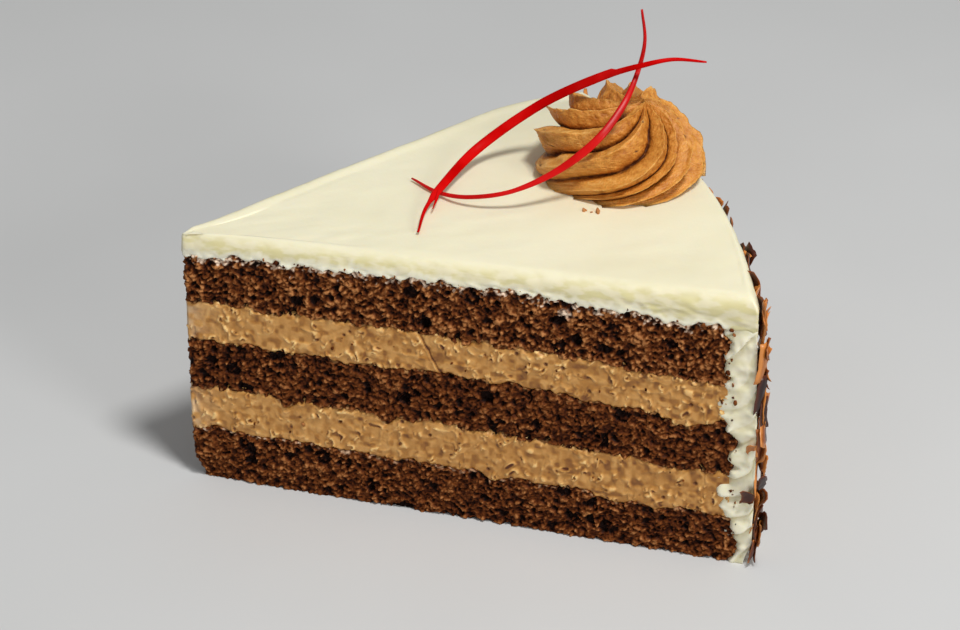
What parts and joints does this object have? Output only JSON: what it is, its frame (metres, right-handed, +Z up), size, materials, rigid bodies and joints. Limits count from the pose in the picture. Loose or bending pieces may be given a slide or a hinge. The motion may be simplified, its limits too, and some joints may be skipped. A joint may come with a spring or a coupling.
{
  "type": "layer torte slice",
  "caption": "Wedge of layered chocolate and cream torte under white icing, with a piped rosette and two bent red strips on top.",
  "frame": {"origin": "under the middle of the whole slice, on the surface it stands on", "axes": "+X from the tip of the wedge towards its curved iced side, +Y towards the hidden cut face, +Z up"},
  "size_m": [0.1114, 0.108, 0.0978],
  "materials": {
    "sponge": "open dry crumb, dark chocolate brown",
    "cream": "soft mocha cream, dull, with drag marks",
    "icing": "smooth ivory icing, satin",
    "rosette": "piped mocha cream, soft sheen",
    "strip": "glossy red",
    "flakes": "broken chocolate, low sheen"
  },
  "bodies": {
    "root": {"sponge_bottom": "sponge", "filling_lower": "cream", "sponge_middle": "sponge", "filling_upper": "cream", "sponge_top": "sponge", "icing": "icing", "rosette": "rosette", "red_strip_wide": "strip", "red_strip_narrow": "strip"}
  },
  "joints": []
}
